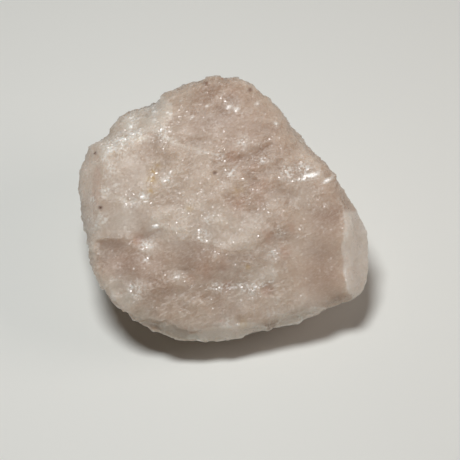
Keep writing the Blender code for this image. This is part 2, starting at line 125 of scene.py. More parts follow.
# Round patches of each mark: (across, up, radius, strength)
PATCHES = {
    "hackly": [
        (8.0, 8.5, 6.5, 0.8), (16.5, 8.5, 3.5, 1.0), (3.7, -16.4, 5.0, 0.8), (-12.0, -18.0, 6.0, 0.7),
        (-3.0, 20.0, 4.0, 0.5), (-21.0, 14.5, 3.0, 0.7), (13.0, -4.0, 4.0, 0.6), (-13.5, 2.0, 3.5, 0.7),
        (-25.0, -4.0, 3.0, 0.8), (7.0, -21.0, 5.0, 0.6), (12.0, -12.0, 6.0, 0.4),
    ],
    "frosted": [
        (-23.6, 13.3, 1.5, 0.8), (-21.4, 14.2, 1.5, 0.9), (-18.6, 15.0, 1.6, 0.8),
        (-21.1, 12.0, 2.4, 0.5), (-12.4, 15.4, 1.6, 0.9), (-11.4, 5.9, 1.1, 0.9),
        (-16.3, 2.4, 1.3, 1.0), (-18.9, 1.3, 1.3, 0.8), (-18.7, 17.2, 0.9, 0.8), (-22.7, 8.0, 0.8, 0.7),
        (-23.9, 3.9, 0.9, 0.8), (-22.0, 4.8, 0.9, 0.7), (-24.6, 10.5, 0.9, 0.8), (-23.3, 8.9, 0.9, 0.8),
        (-23.8, 7.0, 0.8, 0.6), (-20.0, 1.8, 0.8, 0.7), (-19.8, 14.8, 1.5, 0.9),
        (-16.8, 15.2, 1.2, 0.8), (-18.7, 18.8, 1.0, 0.9), (-14.0, 20.4, 1.0, 0.8),
        (-13.9, 18.6, 0.7, 0.8), (-26.8, 2.0, 0.9, 0.8), (-27.5, -2.0, 0.9, 0.7),
        (-26.2, -3.4, 0.9, 0.7), (-13.5, -3.6, 1.1, 1.0), (-4.1, -5.5, 1.4, 1.0),
        (-2.9, -2.5, 0.9, 0.8), (4.1, 14.0, 1.1, 0.9), (-0.7, 11.0, 0.9, 0.8), (1.6, 7.7, 1.0, 0.8),
        (8.4, 10.0, 0.8, 0.8), (13.6, 7.5, 1.5, 1.0), (17.0, 8.3, 2.0, 0.9), (12.0, -4.7, 1.2, 0.7),
        (10.7, -9.0, 1.3, 0.8), (-15.9, -7.6, 1.3, 0.9), (-15.8, -10.1, 1.2, 0.8),
        (-18.9, -16.2, 0.9, 0.9), (-17.5, -17.1, 2.0, 0.6), (-1.3, -16.0, 1.0, 0.8),
        (6.3, -17.1, 1.0, 0.9), (16.4, -22.7, 1.6, 0.9), (19.0, -21.4, 1.6, 0.6),
        (10.4, -21.4, 2.0, 0.4), (1.0, -23.6, 1.2, 0.6), (-24.7, -2.2, 1.2, 0.7),
        (-9.6, -14.0, 1.2, 0.5), (0.6, 22.5, 1.0, 0.4), (2.8, 20.9, 0.8, 0.6), (7.5, 21.8, 0.6, 0.6),
        (11.2, 17.5, 0.6, 0.6),
    ],
    # Milky patches: the stone's milky tone, and painted light at (0, -24.5) on the bottom edge, which
    # faces down
    "milky_and_lit": [
        (-4.5, 12.0, 5.0, 0.2), (1.0, -4.0, 4.5, 0.25), (-20.0, -1.5, 5.0, 0.6), (6.5, -13.5, 3.6, 0.4),
        (-6.0, 2.0, 4.0, 0.15), (-22.0, -17.5, 4.5, 0.6), (3.0, -5.0, 4.0, 0.2),
        (-15.2, -8.0, 1.6, 0.6), (5.5, -17.0, 3.0, 0.4), (-19.0, 17.2, 3.0, 0.9),
        (-12.0, 16.0, 2.0, 0.3), (-23.6, 12.8, 1.5, 0.9), (-21.0, 14.3, 1.6, 0.9),
        (-18.3, 15.0, 1.6, 0.8), (-16.4, 2.4, 1.3, 0.8), (-10.0, 14.0, 1.0, 0.6),
        (-7.0, 12.6, 1.0, 0.6), (-4.6, 12.1, 1.0, 0.5), (10.0, -12.0, 2.5, 0.3),
        (-13.5, -3.2, 3.0, 0.7), (14.5, 6.5, 2.5, 0.2), (19.0, 7.5, 2.5, 0.2), (-17.0, 18.5, 3.0, 0.6),
        (1.5, -11.5, 3.0, 0.4), (5.8, -7.5, 2.5, 0.5), (-8.5, -5.0, 3.0, 0.6), (18.0, -20.0, 3.5, 0.6),
        (5.5, 13.3, 2.5, 0.4), (-25.0, -3.0, 2.5, 0.5), (0.0, -24.5, 4.0, 0.5), (16.2, 2.8, 3.0, 0.35),
        (10.0, 2.6, 3.0, 0.3), (3.7, -18.5, 3.0, 0.5), (-2.5, 19.8, 2.5, 0.3), (10.0, -9.5, 2.5, 0.3),
        (11.0, -19.5, 3.0, 0.3), (18.0, -7.5, 3.0, 0.3), (8.0, 17.5, 3.0, 0.2),
    ],
    # Deep patches: the stone's own deeper tone in places, and painted shade. Those round (-25..-12,
    # -10..-15) are painted shade in the hollow under the left ledge, and the one at (9.6, -16.6) is
    # painted shade in a pit. The wide ones at the top darken the top.
    "deep_and_shaded": [
        (0.0, 23.0, 8.0, 0.8), (7.0, 17.5, 6.5, 0.4), (20.0, -9.0, 8.0, 0.2), (-8.5, -10.5, 4.0, 0.2),
        (-3.0, -20.5, 5.0, 0.2), (-13.0, 11.0, 4.0, 0.4), (-18.5, 9.0, 3.0, 0.3), (-6.5, 9.0, 3.0, 0.4),
        (4.0, 13.0, 7.0, 0.6), (-4.0, 16.0, 4.0, 0.3), (-18.5, -10.5, 4.0, 1.0),
        (-12.5, -11.5, 4.0, 0.8), (-12.5, -14.5, 3.0, 0.6), (23.0, -2.0, 3.6, 1.0),
        (-9.5, 18.0, 3.0, 0.4), (27.5, -2.0, 2.0, 1.0), (-25.0, -11.0, 3.0, 1.0),
        (9.6, -16.6, 1.6, 0.9),
    ],
    # Pink blushes, and three faint patches at (-23, -8.4), (-22, -11) and (-15, -11) that are painted
    # shade in the hollow under the left ledge
    "blushed_and_shaded": [
        (2.2, 10.8, 1.8, 0.7), (3.0, 12.5, 7.0, 0.3), (6.5, 8.6, 1.3, 0.6), (8.1, 4.5, 2.5, 0.6),
        (7.7, 1.8, 1.8, 0.45), (3.8, 1.1, 2.4, 0.7), (9.5, -5.3, 1.5, 0.6), (14.4, -4.1, 1.2, 0.5),
        (-17.5, -6.5, 1.2, 1.0), (-3.5, -12.9, 1.7, 0.7), (-6.4, -14.3, 1.1, 0.6),
        (1.2, -15.9, 1.0, 1.0), (0.4, -11.6, 1.6, 0.5), (12.9, -8.9, 1.5, 0.8), (9.3, -17.0, 1.2, 0.8),
        (20.0, -12.0, 8.0, 0.2), (-23.0, -8.4, 2.6, 0.3), (-22.0, -11.0, 3.0, 0.4),
        (-15.0, -11.0, 3.0, 0.3),
    ],
    "stained": [
        (-14.6, 6.1, 0.9, 1.0), (-14.3, 7.6, 0.7, 0.8), (-13.5, 9.1, 0.8, 0.6), (-17.0, 14.6, 0.7, 0.6),
        (-14.9, 3.7, 0.8, 0.6), (3.3, 3.7, 1.2, 0.4), (-6.8, 0.1, 0.7, 0.4), (4.4, -23.8, 1.0, 0.4),
        (5.5, -12.2, 0.6, 0.8),
    ],
    # Dark specks, and two wide faint patches at (-23.5, -9.5) and (-21, -12) that are painted shade in
    # the hollow under the left ledge
    "specked_and_shaded": [
        (-25.2, 0.3, 0.35, 1.0), (-26.3, 11.6, 0.35, 1.0), (5.8, 24.7, 0.5, 0.7),
        (-3.3, 26.0, 0.5, 0.6), (-1.5, 7.5, 0.35, 0.6), (-23.5, -9.5, 2.8, 0.22),
        (-21.0, -12.0, 2.5, 0.15),
    ],
    "greyed_and_shaded": [
        (-16.5, -22.0, 2.2, 0.8), (-19.5, -19.0, 2.2, 0.7), (-3.0, -26.4, 3.0, 0.1),
        (-22.5, -15.5, 2.5, 0.5), (-24.8, -9.5, 2.5, 0.4), (-22.0, -3.5, 3.0, 0.3),
        (-24.0, 16.0, 4.0, 0.4), (-16.0, 20.0, 4.0, 0.4),
    ],
}

# Panes, the flat breaks with crisp borders, for each mark: (strength, corners)
PANES = {
    "frosted": [
        # The band over the lobe
        (0.8, [
            (-24.6, 10.4), (-24.2, 12.4), (-22.0, 13.8), (-18.0, 15.2), (-15.8, 15.2), (-16.0, 14.4),
            (-18.2, 14.1), (-21.6, 12.6), (-23.4, 11.4),
        ]),
        # The low ledge
        (0.7, [
            (-3.2, -16.7), (-1.0, -15.5), (2.0, -15.3), (5.0, -15.5), (9.5, -15.0), (11.0, -14.6),
            (11.0, -15.2), (8.4, -16.2), (6.4, -17.6), (5.0, -17.2), (3.0, -16.4), (-1.0, -17.0),
        ]),
    ],
    "milky_and_lit": [
        # The round lobe at the left
        (0.3, [(-24.5, 10.0), (-18.0, 11.5), (-15.6, 9.0), (-15.2, 5.0), (-17.0, 3.0), (-24.5, 3.0)]),
        # The band over the lobe
        (0.8, [
            (-24.8, 10.2), (-24.4, 12.6), (-22.0, 14.0), (-18.0, 15.4), (-15.5, 15.4), (-15.5, 14.6),
            (-18.0, 14.0), (-21.5, 12.6), (-23.6, 11.6), (-24.0, 10.0),
        ]),
        # The band under the lobe
        (0.7, [
            (-25.3, 4.0), (-24.5, 2.0), (-20.0, 1.5), (-18.8, 0.6), (-16.0, 2.0), (-16.0, 3.0),
            (-18.9, 1.8), (-20.0, 2.4), (-22.8, 3.4), (-24.0, 5.2),
        ]),
        # The narrow strip down the left edge
        (0.3, [
            (-25.2, 10.0), (-27.6, 10.0), (-31.0, 4.0), (-31.0, -1.0), (-28.0, -3.5), (-26.6, -3.5),
            (-25.6, 0.0), (-25.3, 4.0),
        ]),
        # The slope at the top left
        (0.6, [(-20.0, 20.5), (-13.5, 23.5), (-10.4, 22.0), (-10.2, 19.0), (-12.6, 16.0), (-20.0, 15.6)]),
        # The pale line from that slope into the middle
        (0.7, [
            (-12.6, 15.0), (-12.2, 16.2), (-10.0, 14.4), (-7.0, 13.1), (-4.0, 12.5), (-1.8, 11.7),
            (-2.0, 11.1), (-4.2, 11.7), (-7.0, 12.2), (-10.2, 13.4),
        ]),
        # The corner at the lower right
        (0.9, [(12.0, -22.2), (16.5, -21.0), (19.5, -20.0), (21.5, -20.4), (18.0, -25.0), (10.5, -25.4)]),
        # The pale band over the low ledge
        (0.55, [(4.5, -14.6), (6.0, -12.6), (10.5, -11.6), (12.0, -13.0), (11.0, -14.8)]),
        # The band along the bottom edge, painted light: this band faces down, and is painted paler
        # against its shade
        (1.0, [(-7.5, -26.4), (-3.0, -24.4), (6.0, -23.4), (9.5, -24.4), (8.0, -28.0), (-7.0, -28.0)]),
        # The middle
        (0.35, [
            (-14.0, -5.2), (-5.0, -5.9), (-2.4, -7.8), (1.0, -8.6), (5.2, -8.7), (8.0, -6.8),
            (10.5, -4.0), (8.0, -1.0), (-4.0, 1.5), (-13.0, 0.5),
        ]),
    ],
    "deep_and_shaded": [
        # The brown band under the middle
        (0.4, [
            (-14.6, -6.3), (-5.0, -6.6), (-2.5, -8.4), (1.0, -9.2), (5.5, -9.4), (8.0, -9.6),
            (8.0, -11.0), (3.0, -12.6), (-5.0, -12.8), (-14.6, -13.0),
        ]),
        # The hollow at the left, painted shade under the ledge
        (0.55, [
            (-26.2, -6.3), (-21.5, -6.2), (-19.0, -7.3), (-20.6, -10.0), (-23.0, -10.5), (-25.6, -9.6),
        ]),
        # The chip at the bottom left, painted shade: the table's shadow showing through the thin chip
        (0.4, [
            (-14.2, -23.4), (-12.0, -23.3), (-9.5, -24.3), (-7.0, -25.5), (-5.0, -29.0), (-11.0, -29.0),
        ]),
        # The right end's far edge
        (0.5, [(29.3, -2.0), (34.0, -2.0), (34.0, -13.5), (29.8, -13.0), (30.1, -8.0)]),
    ],
    "blushed_and_shaded": [
        # The narrow strip down the left edge
        (0.15, [
            (-25.1, 10.4), (-25.2, 14.0), (-30.0, 14.0), (-31.0, -3.5), (-26.6, -3.5), (-25.5, 0.0),
            (-25.2, 4.0),
        ]),
        # The strip's inner border
        (0.6, [(-25.3, 9.0), (-26.6, 8.5), (-27.0, 2.0), (-25.8, 0.0), (-25.3, 3.0)]),
    ],
    "greyed_and_shaded": [
        # The chip at the bottom left, painted shade: the table's shadow showing through the thin chip
        (0.9, [
            (-14.2, -23.4), (-12.0, -23.3), (-9.5, -24.3), (-7.0, -25.5), (-4.6, -26.4), (-5.0, -29.0),
            (-11.0, -29.0),
        ]),
    ],
    "smooth": [
        # The round lobe at the left
        (0.9, [(-24.4, 9.8), (-18.0, 11.3), (-15.8, 9.0), (-15.4, 5.0), (-17.4, 3.2), (-23.8, 3.4)]),
        # The panel under the lobe
        (1.0, [(-24.8, 1.6), (-19.0, 0.2), (-15.5, 1.2), (-14.6, -1.0), (-15.0, -5.4), (-25.4, -5.6)]),
        # The plane under the hollow
        (0.9, [
            (-25.0, -6.6), (-20.0, -6.6), (-16.5, -10.5), (-14.0, -12.0), (-14.0, -14.8),
            (-24.0, -14.6),
        ]),
        # The brown band under the middle
        (1.0, [(-14.5, -7.0), (-5.0, -6.8), (-3.0, -9.5), (-3.0, -12.0), (-14.5, -12.6)]),
        # The plane at the right
        (0.8, [(13.5, -0.8), (24.6, -0.8), (25.4, -12.0), (25.4, -18.6), (18.0, -19.0), (14.0, -14.0)]),
        # The plane at the top
        (0.8, [
            (-8.0, 18.0), (-4.0, 20.5), (0.5, 19.5), (6.0, 19.5), (9.0, 16.5), (5.0, 15.5),
            (-8.0, 14.5),
        ]),
    ],
}
PANE_BORDER = 0.25  # a pane fades in over this on both sides of its outline
BORDER_WANDER = (0.9, 0.3)  # the outline swings over this width as far as this reach

# Glassy slivers that catch the light: (across, up, half length, half width, turn in degrees, strength).
# They are also painted white, a painted highlight.
SLIVERS = [
    (14.9, 5.9, 0.9, 0.22, 4.0, 0.7), (16.6, 6.2, 1.5, 0.32, 10.0, 0.9),
    (18.4, 7.0, 1.7, 0.5, 14.0, 1.0), (19.5, 7.7, 0.8, 0.25, 25.0, 0.6),
    (21.9, 6.0, 1.0, 0.4, 24.0, 1.0), (-14.7, 6.4, 1.3, 0.2, 65.0, 0.5),
    (2.3, 8.0, 1.4, 0.18, 50.0, 0.35), (-0.4, 4.7, 1.3, 0.18, 28.0, 0.35),
    (-13.6, -3.4, 0.45, 0.3, 8.0, 0.7), (-16.4, 2.6, 0.6, 0.3, 20.0, 0.7),
    (-9.6, -14.3, 0.8, 0.14, 20.0, 0.4), (1.5, 21.2, 0.6, 0.35, 30.0, 0.9),
    (3.0, 20.6, 0.5, 0.3, 50.0, 0.7), (7.3, 21.9, 0.5, 0.25, 0.0, 0.7),
    (11.1, 17.8, 0.4, 0.25, 140.0, 0.8), (-6.3, 18.9, 0.5, 0.15, 50.0, 0.7),
    (-18.9, 18.9, 0.45, 0.22, 20.0, 0.7), (-18.9, 17.0, 0.3, 0.25, 0.0, 0.7),
    (-18.7, 15.6, 0.45, 0.2, -10.0, 0.8), (-14.0, 20.3, 0.35, 0.22, 60.0, 0.7),
    (-11.0, 19.9, 0.8, 0.15, -15.0, 0.6), (-3.1, 21.4, 0.4, 0.22, 30.0, 0.6),
    (-12.6, 16.3, 0.35, 0.25, 30.0, 0.7), (-20.6, 14.4, 0.6, 0.18, 15.0, 0.7),
    (-8.5, 22.5, 0.3, 0.2, 40.0, 0.6), (-10.7, 7.7, 0.5, 0.25, 50.0, 0.8),
    (-11.6, 6.0, 0.5, 0.25, 30.0, 0.8),
]
SLIVER_EDGE = (1.6, 0.6)  # where a sliver starts and is full, as a share of its half length and width

# The small breaks that Geometry Nodes raise, with the ledges' climb in degrees
RELIEF = {
    "Ledge spacing": 2.7, "Ledge drop": 0.10, "Ledge climb": 26.0,
    "Bend width": 6.25, "Bend reach": 14.0, "Patch width": 7.692,
    "Scar size": 4.0, "Scar depth": 0.12, "Chip size": 1.7, "Chip depth": 0.08,
    "Grain size": 0.8, "Grain depth": 0.065, "Warp width": 2.0, "Warp reach": 0.6,
    "Roughness width": 0.909, "Roughness": 0.04, "Base height": 0.5,
}
HACKLY_NOISE = (0.42, 0.66)  # the levels of the noise where its hackly patches start and are full
HACKLY_NOISE_SHARE = 0.8
CHIPPING = (0.35, 1.3)  # how deep chips and grains are where it is not hackly, and where it is
RIM_BREAKS = 3.0  # scars and chips are so many times deeper at the rim
SMOOTH_BREAKS = 0.35  # how much of the small breaks is left on the smooth panes
RIGHT_END_BREAKS = 0.45  # and on the right end, from the second of these places on
RIGHT_END_PLACES = (24.6, 26.0)
FLAT_UP_TO = 0.05  # how high the flat base stays without small breaks
LEDGE_STRETCH = (0.6, 1.0, 0.8)
STREAK_STRETCH = (0.5, 1.0, 0.7)
EVENING_ROUNDS = 60  # of smoothing on the smooth panes, before the small breaks
# A point's height over its surroundings is measured after so many rounds of smoothing
HEIGHTS = {"ridge": 6, "swell": 60}

# How wide the patterns in the stone are
CLOUD = 11.0
VEIL = 3.0
MILK_SPOT = 0.8
MILK_STREAK = 0.3
CRUSHED_GRIT = 0.55
RUST = 1.1
CRACK = 0.7
DULL_PATCH = 2.5
GRAIN = 0.45
FLAKE_CLUSTER = 2.5
FLAKE = 0.32  # the real ones go down to 0.05 mm, and these are drawn as fine as they still show

# A flake or a grain tilts by this much of its own random lean
FLAKE_TILT = 0.65
FROSTED_FLAKE_TILT = 0.5
GRAIN_TILT = 0.35
SMOOTH_GRAIN_TILT = 0.2
STREAK_TURN = math.radians(24.0)  # how steeply the streaks climb to the right
LIGHT_DEPTH = 6.5  # how far red light goes into the stone

# Colours of the stone and of the table, as sRGB
PALE_BODY = "#CDBBAA"
# The next colour is the deeper body, and also painted shade in the hollows and in some deep patches
DEEP_BODY_AND_SHADE = "#A58B79"
# The milk colour is also painted light on the bottom edge
MILK_AND_LIGHT = "#E5DCD1"
ICE = "#E5E2DB"
# The frost colour is also the painted highlight on the glassy slivers
FROST_AND_GLINT = "#F0EDE8"
# The blush colour is also painted shade in the hollow under the left ledge
BLUSH_AND_SHADE = "#C0937C"
STAIN = "#C2A162"
# The speck colour is also painted shade in the hollow under the left ledge
SPECK_AND_SHADE = "#5A2E14"
# The thin grey is also painted shade, the table's shadow showing through the thin chip at the bottom left
THIN_GREY_AND_SHADE = "#B4B0A4"
TABLE = "#E9EAE6"

# Where a flake has to face to flash at the camera, in the face's frame
FLASHING_WAY = Vector((-0.04, 0.27, 0.96))

# Lamps: name, place in metres, width and length in metres, watts, colour. Each points at the origin.
LAMPS = [
    ("overhead_lamp", (-0.044, -0.008, 0.360), 0.06, 0.11, 0.92, (0.985, 1.0, 1.0)),
    ("right_fill", (0.32, 0.0, 0.22), 0.20, 0.20, 0.27, (1.0, 0.87, 0.80)),
]
ROOM_LIGHT = (1.0, 0.82, 0.70, 1.0)
ROOM_STRENGTH = 0.047
TABLE_REACH = 1.5  # in metres, from its middle to its edge


def linear(colour):
    """An sRGB hex colour as linear RGBA."""
    parts = [int(colour[i : i + 2], 16) / 255.0 for i in (1, 3, 5)]
    return [c / 12.92 if c <= 0.04045 else ((c + 0.055) / 1.055) ** 2.4 for c in parts] + [1.0]


def fill(tree, made, inputs):
    """Fills a node's inputs: a plain value is set, a socket or a node's first live output is linked."""
    for name, value in inputs.items():
        if isinstance(value, bpy.types.Node):
            value = next(socket for socket in value.outputs if socket.enabled)
        if isinstance(value, bpy.types.NodeSocket):
            tree.links.new(value, made.inputs[name])
        else:
            made.inputs[name].default_value = value


def add(tree, kind, inputs=None, **settings):
    """Adds a node with its settings and its inputs."""
    made = tree.nodes.new(kind)
    for name, value in settings.items():
        setattr(made, name, value)
    fill(tree, made, inputs or {})
    return made


# The stone's shape


def settle(stone):
    """Turns the stone's modifiers into a plain mesh."""
    graph = bpy.context.evaluated_depsgraph_get()
    mesh = bpy.data.meshes.new_from_object(stone.evaluated_get(graph))
    stone.modifiers.clear()
    stone.data = mesh
    mesh.name = stone.name


def even_skin(node):
    """A copy of the solid with closed, even faces."""
    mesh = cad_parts[node].data.copy()
    shape = bmesh.new()
    shape.from_mesh(mesh)
    bmesh.ops.remove_doubles(shape, verts=shape.verts, dist=SAME_POINT * MM)
    shape.to_mesh(mesh)
    shape.free()
    mesh.materials.clear()
    stone = bpy.data.objects.new("rough_stone", mesh)
    bpy.context.scene.collection.objects.link(stone)
    remesh = stone.modifiers.new("even_skin", "REMESH")
    remesh.mode = "VOXEL"
    remesh.voxel_size = SKIN_GRAIN * MM
    soften = stone.modifiers.new("soften", "SMOOTH")
    soften.iterations = SOFTENING_ROUNDS
    settle(stone)
    return stone


def read(data, name, width):
    """A property of every element as an array."""
    values = np.empty(len(data) * width, np.float32)
    data.foreach_get(name, values)
    return values.reshape(-1, width)


def write(mesh, name, values):
    """Keeps a value for every point of the mesh, under a name that the nodes read."""
    kept = mesh.attributes.new(name, "FLOAT", "POINT").data
    kept.foreach_set("value", values.astype(np.float32))


def rise(values, start, end):
    """0 up to start and 1 from end on, with a straight slope between. The end may be the lower."""
    return np.clip((values - start) / (end - start), 0.0, 1.0)


def wander(places, width, reach):
    """Smooth noise at each place. It swings over about width, and as far as reach."""
    return np.array([noise.noise_vector(Vector(place) / width) for place in places]) * reach


def facing_ways(mesh):
    """Which way every point faces, in the face's frame."""
    return read(mesh.vertex_normals, "vector", 3) @ np.array(WORLD_TO_FACE).T


def chart_places(mesh):
    """Every point's place on the chart, with its height out of the face."""
    from_centre = read(mesh.vertices, "co", 3) / MM - np.array(FACE_CENTRE)
    places = from_centre @ np.array(WORLD_TO_FACE).T
    nearer = DISTANCE / (DISTANCE + AIM.z - places[:, 2:])
    places[:, :2] = (places[:, :2] - np.array(AIM.xy)) * nearer + np.array(CHART_AIM)
    return places


def lower_ledges_and_pits(mesh):
    """Lowers the broad face below each ledge's lip and in each pit."""
    places = chart_places(mesh)
    shift = sum(wander(places, width, reach) for width, reach in LIP_WANDER)
    across, up = places[:, 0] + shift[:, 0], places[:, 1] + shift[:, 1]
    lowered = np.zeros(len(places))
    for drop, reach, lip in LEDGES:
        lip_across, lip_up = zip(*lip)
        below = (np.interp(across, lip_across, lip_up) - up) * math.copysign(1.0, drop)
        from_end = np.minimum(across - lip_across[0], lip_across[-1] - across)
        fall = rise(below, 0.0, LIP_WIDTH) * np.exp(-np.maximum(below, 0.0) / reach)
        ridge = LIP_RIDGE * np.exp(-np.abs(below) / LIP_RIDGE_REACH) * (below < 0.0)
        lowered += abs(drop) * rise(from_end, 0.0, LIP_FADE) * (fall - ridge)
    for pit_across, pit_up, radius, depth in PITS:
        apart = np.hypot(across - pit_across, up - pit_up) / radius
        lowered += depth * rise(apart**2, 1.0, 0.0)
    lowered *= rise(facing_ways(mesh)[:, 2], *PART_OF_FACE)
    inward = np.array(FACE_TO_WORLD @ Vector((0.0, 0.0, -MM)))
    moved = read(mesh.vertices, "co", 3) + inward * lowered[:, None]
    mesh.vertices.foreach_set("co", moved.astype(np.float32).ravel())
    mesh.update()


def inside(across, up, corners):
    """How far each point is inside an outline. It is under 0 outside it."""
    apart = np.full(len(across), np.inf)
    within = np.zeros(len(across), bool)
    for (x0, y0), (x1, y1) in zip(corners, corners[1:] + corners[:1]):
        run, climb = x1 - x0, y1 - y0
        share = np.clip(((across - x0) * run + (up - y0) * climb) / (run**2 + climb**2), 0.0, 1.0)
        apart = np.minimum(apart, np.hypot(across - x0 - share * run, up - y0 - share * climb))
        if climb:
            level = (y0 > up) != (y1 > up)
            within ^= level & (across < x0 + (up - y0) * run / climb)
    return np.where(within, apart, -apart)


def mark_patches_and_panes(mesh, places, out):
    """Writes how hackly, frosted, milky and so on each point is. The sides are hackly all over."""
    in_front = rise(out, *IN_FRONT)
    border = places + wander(places, *BORDER_WANDER)
    for name in MARKS:
        marked = np.zeros(len(places))
        for across, up, radius, strength in PATCHES.get(name, []):
            apart = np.hypot(places[:, 0] - across, places[:, 1] - up) / radius
            marked = np.maximum(marked, np.exp(-(apart**2)) * strength)
        for strength, corners in PANES.get(name, []):
            depth = inside(border[:, 0], border[:, 1], corners)
            marked = np.maximum(marked, rise(depth, -PANE_BORDER, PANE_BORDER) * strength)
        marked *= in_front
        if name == "hackly":
            marked = np.maximum(marked, SIDE_HACKLES * (1.0 - rise(out, *PART_OF_FACE)))
        write(mesh, name, marked)


def mark_slivers(mesh, places, out):
    """Writes which points are on a glassy sliver, whose white colour is a painted highlight."""
    glassy_and_glint = np.zeros(len(places))
    for across, up, half_length, half_width, turn, strength in SLIVERS:
        cos, sin = math.cos(math.radians(turn)), math.sin(math.radians(turn))
        x, y = places[:, 0] - across, places[:, 1] - up
        apart = np.hypot((x * cos + y * sin) / half_length, (y * cos - x * sin) / half_width)
        glassy_and_glint = np.maximum(glassy_and_glint, rise(apart, *SLIVER_EDGE) * strength)
    write(mesh, "glassy_and_glint", glassy_and_glint * rise(out, *PART_OF_FACE))


def mark_pale_ends(mesh, places, sideways):
    """Writes how far each point is on the two end breaks, which are milkier than the broad face."""
    right = rise(sideways, *END_FACING) * rise(places[:, 0], *RIGHT_END_ACROSS)
    right *= rise(places[:, 1], *RIGHT_END_UP)
    left = rise(-sideways, *END_FACING) * rise(places[:, 0], *LEFT_END_ACROSS)
    write(mesh, "pale_end", right + LEFT_END_SHARE * left)


def mark_places(mesh):
    """Writes everything that the nodes read about a point."""
    places = chart_places(mesh)
    ways = facing_ways(mesh)
    write(mesh, "rim", rise(ways[:, 2], *AT_RIM))
    mark_patches_and_panes(mesh, places, ways[:, 2])
    mark_slivers(mesh, places, ways[:, 2])
    mark_pale_ends(mesh, places, ways[:, 0])


def noisy(node, places, width, detail):
    """Noise that swings over about width."""
    finer = node("ShaderNodeMath", {0: 1.0, 1: width}, operation="DIVIDE")
    return node("ShaderNodeTexNoise", {"Vector": places, "Scale": finer, "Detail": detail})


def ledge_height(node, given, along, hackles):
    """Ledges on the hackles: a saw across the climb, bent by noise."""
    streaked = node("ShaderNodeVectorMath", {0: along, 1: LEDGE_STRETCH}, operation="MULTIPLY")
    swing = noisy(node, streaked, given["Bend width"], 4.0)
    bend = node("ShaderNodeMath", {0: swing, 1: given["Bend reach"]}, operation="MULTIPLY")
    across = node("ShaderNodeSeparateXYZ", {0: along}).outputs["Y"]
    bent = node("ShaderNodeMath", {0: across, 1: bend}, operation="ADD")
    count = node("ShaderNodeMath", {0: bent, 1: given["Ledge spacing"]}, operation="DIVIDE")
    saw = node("ShaderNodeMath", {0: count}, operation="FRACT")
    level = node("ShaderNodeMath", {0: saw, 1: 0.5}, operation="SUBTRACT")
    height = node("ShaderNodeMath", {0: level, 1: given["Ledge drop"]}, operation="MULTIPLY")
    return node("ShaderNodeMath", {0: height, 1: hackles}, operation="MULTIPLY")


def bowl_height(node, size, depth, places, stretch, tilt):
    """Shallow bowls that meet in crisp ridges, each tilted its own way."""
    stretched = node("ShaderNodeVectorMath", {0: places, 1: stretch}, operation="MULTIPLY")
    smaller = node("ShaderNodeMath", {0: 1.0, 1: size}, operation="DIVIDE")
    scaled = node("ShaderNodeVectorMath", {0: stretched, "Scale": smaller}, operation="SCALE")
    found = node("ShaderNodeTexVoronoi", {"Vector": scaled, "Scale": 1.0}).outputs
    away = node("ShaderNodeMath", {0: found["Distance"], 1: 0.9}, operation="MINIMUM")
    curve = node("ShaderNodeMath", {0: away, 1: 2.0}, operation="POWER")
    bowl = node("ShaderNodeMath", {0: curve, 1: 2.0, 2: -0.5}, operation="MULTIPLY_ADD")
    middle = node("ShaderNodeVectorMath", {0: scaled, 1: found["Position"]}, operation="SUBTRACT")
    lean = node("ShaderNodeVectorMath", {0: found["Color"], 1: (0.5, 0.5, 0.5)}, operation="SUBTRACT")
    slope = node("ShaderNodeVectorMath", {0: middle, 1: lean}, operation="DOT_PRODUCT")
    leaning = node("ShaderNodeMath", {0: slope, 1: tilt, 2: bowl}, operation="MULTIPLY_ADD")
    return node("ShaderNodeMath", {0: leaning, 1: depth}, operation="MULTIPLY")


def break_height(node, given, millimetres, along, marks):
    """The height of all the small breaks together, in mm."""
    patchy = noisy(node, along, given["Patch width"], 1.0)
    start, full = HACKLY_NOISE
    limits = {"From Min": start, "From Max": full, "To Max": HACKLY_NOISE_SHARE}
    patches = node("ShaderNodeMapRange", {"Value": patchy, **limits})
    hackles = node("ShaderNodeMath", {0: marks["hackly"], 1: patches}, operation="MAXIMUM")
    height = ledge_height(node, given, along, hackles)

    swing = noisy(node, millimetres, given["Warp width"], 3.0).outputs["Color"]
    warp = node("ShaderNodeVectorMath", {0: swing, "Scale": given["Warp reach"]}, operation="SCALE")
    warped = node("ShaderNodeVectorMath", {0: along, 1: warp}, operation="ADD")
    at_rim = node("ShaderNodeMapRange", {"Value": marks["rim"], "To Min": 1.0, "To Max": RIM_BREAKS})
    plain, hackly = CHIPPING
    chipped = node("ShaderNodeMapRange", {"Value": hackles, "To Min": plain, "To Max": hackly})
    for kind, stretch, tilt, shares in (
        ("Scar", (0.7, 1.0, 1.0), 1.0, [at_rim]),
        ("Chip", (0.7, 1.0, 1.0), 2.0, [at_rim, chipped]),
        ("Grain", (0.8, 1.0, 1.0), 2.5, [chipped]),
    ):
        bowls = bowl_height(node, given[kind + " size"], given[kind + " depth"], warped, stretch, tilt)
        for share in shares:
            bowls = node("ShaderNodeMath", {0: bowls, 1: share}, operation="MULTIPLY")
        height = node("ShaderNodeMath", {0: height, 1: bowls}, operation="ADD")

    fine = noisy(node, millimetres, given["Roughness width"], 4.0)
    level = node("ShaderNodeMath", {0: fine, 1: 0.5}, operation="SUBTRACT")
    rough = node("ShaderNodeMath", {0: level, 1: given["Roughness"]}, operation="MULTIPLY")
    return node("ShaderNodeMath", {0: height, 1: rough}, operation="ADD")


